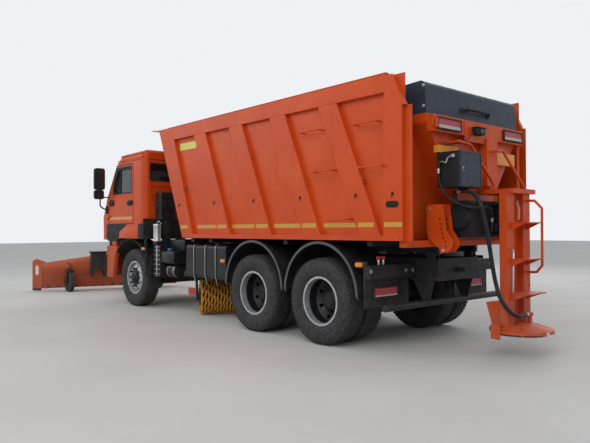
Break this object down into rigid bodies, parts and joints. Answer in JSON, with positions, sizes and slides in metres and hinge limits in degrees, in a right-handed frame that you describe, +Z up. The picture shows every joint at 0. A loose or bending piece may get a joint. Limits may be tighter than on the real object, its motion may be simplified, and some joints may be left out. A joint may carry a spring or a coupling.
{
  "type": "dump truck with spreader, road brush and snow plough",
  "caption": "Cab-over dump truck for road upkeep: V-box spreader in the bed, slanted brush under the frame, angled snow plough in front.",
  "frame": {"origin": "on the ground at the middle of the whole machine's footprint", "axes": "+X to the front of the truck, +Y to its left, +Z up"},
  "size_m": [11.51, 3.1166, 3.13],
  "materials": {
    "orange_paint": "semi-gloss orange paint",
    "dark_steel": "black paint",
    "cast_iron": "as cast, oily",
    "black_tank": "black paint",
    "black_plastic": "moulded black",
    "grey_paint": "blue-grey paint",
    "tyre": "dusty black",
    "silver_rim": "silver paint",
    "glass": "tinted",
    "interior": "grey",
    "steel": "bare",
    "lamp": "red and white lenses",
    "bristle": "amber bristles",
    "hose": "black rubber"
  },
  "bodies": {
    "chassis": {"chassis_frame": "dark_steel", "axles": "dark_steel", "powertrain": "cast_iron", "fuel_tank": "black_tank", "side_boxes": "black_plastic", "bumper": "orange_paint", "mudguards": "black_plastic", "rear_bar": "dark_steel", "chassis_lamps": "lamp"},
    "track_rod": {"track_rod": "dark_steel"},
    "cab": {"cab_shell": "orange_paint", "cab_glass": "glass", "cab_interior": "interior", "mirrors": "black_plastic", "cab_trim": "black_plastic"},
    "bed": {"bed_floor": "orange_paint", "bed_front": "orange_paint", "bed_side_left": "orange_paint", "bed_side_right": "orange_paint", "hopper": "orange_paint", "cabinet": "grey_paint", "drive_housing": "dark_steel", "chute_column": "orange_paint", "bed_lamps": "lamp", "hose_main": "hose", "hose_thin": "hose"},
    "hood": {"hood": "grey_paint"},
    "cabinet_door": {"cabinet_door": "grey_paint"},
    "spinner": {"spinner_disc": "steel"},
    "hoist_barrel": {"hoist_barrel": "dark_steel"},
    "hoist_rod": {"hoist_rod": "steel"},
    "brush_frame": {"brush_frame": "dark_steel"},
    "brush": {"brush_roller": "bristle"},
    "plough_frame": {"plough_frame": "dark_steel"},
    "plough_blade": {"plough_blade": "orange_paint", "plough_carrier": "dark_steel"},
    "knuckle_left": {"knuckle_left": "dark_steel"},
    "front_wheel_left": {"front_tyre_left": "tyre", "front_rim_left": "silver_rim"},
    "rear_wheels_1_left": {"rear_tyres_1_left": "tyre", "rear_rims_1_left": "silver_rim"},
    "rear_wheels_2_left": {"rear_tyres_2_left": "tyre", "rear_rims_2_left": "silver_rim"},
    "door_left": {"door_left": "orange_paint", "door_glass_left": "glass"},
    "plough_fork_left": {"plough_fork_left": "dark_steel"},
    "plough_wheel_left": {"plough_wheel_left": "tyre"},
    "knuckle_right": {"knuckle_right": "dark_steel"},
    "front_wheel_right": {"front_tyre_right": "tyre", "front_rim_right": "silver_rim"},
    "rear_wheels_1_right": {"rear_tyres_1_right": "tyre", "rear_rims_1_right": "silver_rim"},
    "rear_wheels_2_right": {"rear_tyres_2_right": "tyre", "rear_rims_2_right": "silver_rim"},
    "door_right": {"door_right": "orange_paint", "door_glass_right": "glass"},
    "plough_fork_right": {"plough_fork_right": "dark_steel"},
    "plough_wheel_right": {"plough_wheel_right": "tyre"}
  },
  "joints": [
    {"name": "steer_left", "type": "hinge", "parent": "chassis", "child": "knuckle_left", "pos_m": [1.53194, 0.79648, 0.527], "axis": [0, 0, 1], "range_deg": [-35, 35]},
    {"name": "steer_right", "type": "hinge", "parent": "chassis", "child": "knuckle_right", "pos_m": [1.53194, -0.90352, 0.527], "axis": [0, 0, 1], "range_deg": [-35, 35]},
    {"name": "track_rod_pivot", "type": "hinge", "parent": "knuckle_left", "child": "track_rod", "pos_m": [1.30194, 0.79648, 0.427], "axis": [0, 0, 1], "range_deg": [-35, 35]},
    {"name": "front_wheel_spin_left", "type": "hinge", "parent": "knuckle_left", "child": "front_wheel_left", "pos_m": [1.53194, 0.96648, 0.527], "axis": [0, 1, 0], "continuous": true},
    {"name": "rear_wheels_spin_1_left", "type": "hinge", "parent": "chassis", "child": "rear_wheels_1_left", "pos_m": [-2.15806, 1.04148, 0.527], "axis": [0, 1, 0], "continuous": true},
    {"name": "rear_wheels_spin_2_left", "type": "hinge", "parent": "chassis", "child": "rear_wheels_2_left", "pos_m": [-3.47806, 1.04148, 0.527], "axis": [0, 1, 0], "continuous": true},
    {"name": "front_wheel_spin_right", "type": "hinge", "parent": "knuckle_right", "child": "front_wheel_right", "pos_m": [1.53194, -1.07352, 0.527], "axis": [0, 1, 0], "continuous": true},
    {"name": "rear_wheels_spin_1_right", "type": "hinge", "parent": "chassis", "child": "rear_wheels_1_right", "pos_m": [-2.15806, -1.14852, 0.527], "axis": [0, 1, 0], "continuous": true},
    {"name": "rear_wheels_spin_2_right", "type": "hinge", "parent": "chassis", "child": "rear_wheels_2_right", "pos_m": [-3.47806, -1.14852, 0.527], "axis": [0, 1, 0], "continuous": true},
    {"name": "cab_tilt", "type": "hinge", "parent": "chassis", "child": "cab", "pos_m": [2.61194, -0.05352, 1.12], "axis": [0, 1, 0], "range_deg": [0, 50]},
    {"name": "door_swing_left", "type": "hinge", "parent": "cab", "child": "door_left", "pos_m": [2.39494, 1.20348, 1.8], "axis": [0, 0, -1], "range_deg": [0, 68]},
    {"name": "door_swing_right", "type": "hinge", "parent": "cab", "child": "door_right", "pos_m": [2.39494, -1.31052, 1.8], "axis": [0, 0, 1], "range_deg": [0, 68]},
    {"name": "bed_tilt", "type": "hinge", "parent": "chassis", "child": "bed", "pos_m": [-4.53806, -0.05352, 1.1], "axis": [0, -1, 0], "range_deg": [0, 8]},
    {"name": "hoist_pivot", "type": "hinge", "parent": "chassis", "child": "hoist_barrel", "pos_m": [-2.81806, -0.05352, 1.022], "axis": [0, -1, 0], "range_deg": [0, 16.08]},
    {"name": "hoist_slide", "type": "slide", "parent": "hoist_barrel", "child": "hoist_rod", "axis": [0.9955, 0, 0.0952], "range_m": [0, 0.06685]},
    {"name": "hood_lid", "type": "hinge", "parent": "bed", "child": "hood", "pos_m": [-3.74606, -0.05352, 2.658], "axis": [0, 1, 0], "range_deg": [0, 65]},
    {"name": "cabinet_door_swing", "type": "hinge", "parent": "bed", "child": "cabinet_door", "pos_m": [-5.17406, 0.32748, 2], "axis": [0, 0, 1], "range_deg": [0, 100]},
    {"name": "spinner_spin", "type": "hinge", "parent": "bed", "child": "spinner", "pos_m": [-5.41806, -0.05352, 0.285], "axis": [0, 0, 1], "continuous": true},
    {"name": "brush_lift", "type": "hinge", "parent": "chassis", "child": "brush_frame", "pos_m": [-0.42592, -0.28778, 0.65], "axis": [0.4695, 0.8829, 0], "range_deg": [0, 6]},
    {"name": "brush_spin", "type": "hinge", "parent": "brush_frame", "child": "brush", "pos_m": [-0.76306, -0.10852, 0.297], "axis": [0.4695, 0.8829, 0], "continuous": true},
    {"name": "plough_lift", "type": "hinge", "parent": "chassis", "child": "plough_frame", "pos_m": [3.09194, -0.05352, 0.56], "axis": [0, -1, 0], "range_deg": [0, 10]},
    {"name": "plough_swing", "type": "hinge", "parent": "plough_frame", "child": "plough_blade", "pos_m": [4.43194, -0.05352, 0.58], "axis": [0, 0, 1], "range_deg": [-12.5, 47.5]},
    {"name": "plough_fork_swivel_left", "type": "hinge", "parent": "plough_blade", "child": "plough_fork_left", "pos_m": [5.00931, 0.99145, 0.5], "axis": [0, 0, 1], "range_deg": [-75, 75]},
    {"name": "plough_wheel_spin_left", "type": "hinge", "parent": "plough_fork_left", "child": "plough_wheel_left", "pos_m": [4.92931, 0.99145, 0.225], "axis": [0, 1, 0], "continuous": true},
    {"name": "plough_fork_swivel_right", "type": "hinge", "parent": "plough_blade", "child": "plough_fork_right", "pos_m": [4.4079, -0.91598, 0.5], "axis": [0, 0, 1], "range_deg": [-75, 75]},
    {"name": "plough_wheel_spin_right", "type": "hinge", "parent": "plough_fork_right", "child": "plough_wheel_right", "pos_m": [4.3279, -0.91598, 0.225], "axis": [0, 1, 0], "continuous": true}
  ],
  "couplings": [
    {"joint": "steer_right", "follows": "steer_left", "ratio": 1},
    {"joint": "track_rod_pivot", "follows": "steer_left", "ratio": -1},
    {"joint": "hoist_pivot", "follows": "bed_tilt", "ratio": 2.0083},
    {"joint": "hoist_slide", "follows": "bed_tilt", "m_per_rad": 0.47804}
  ]
}
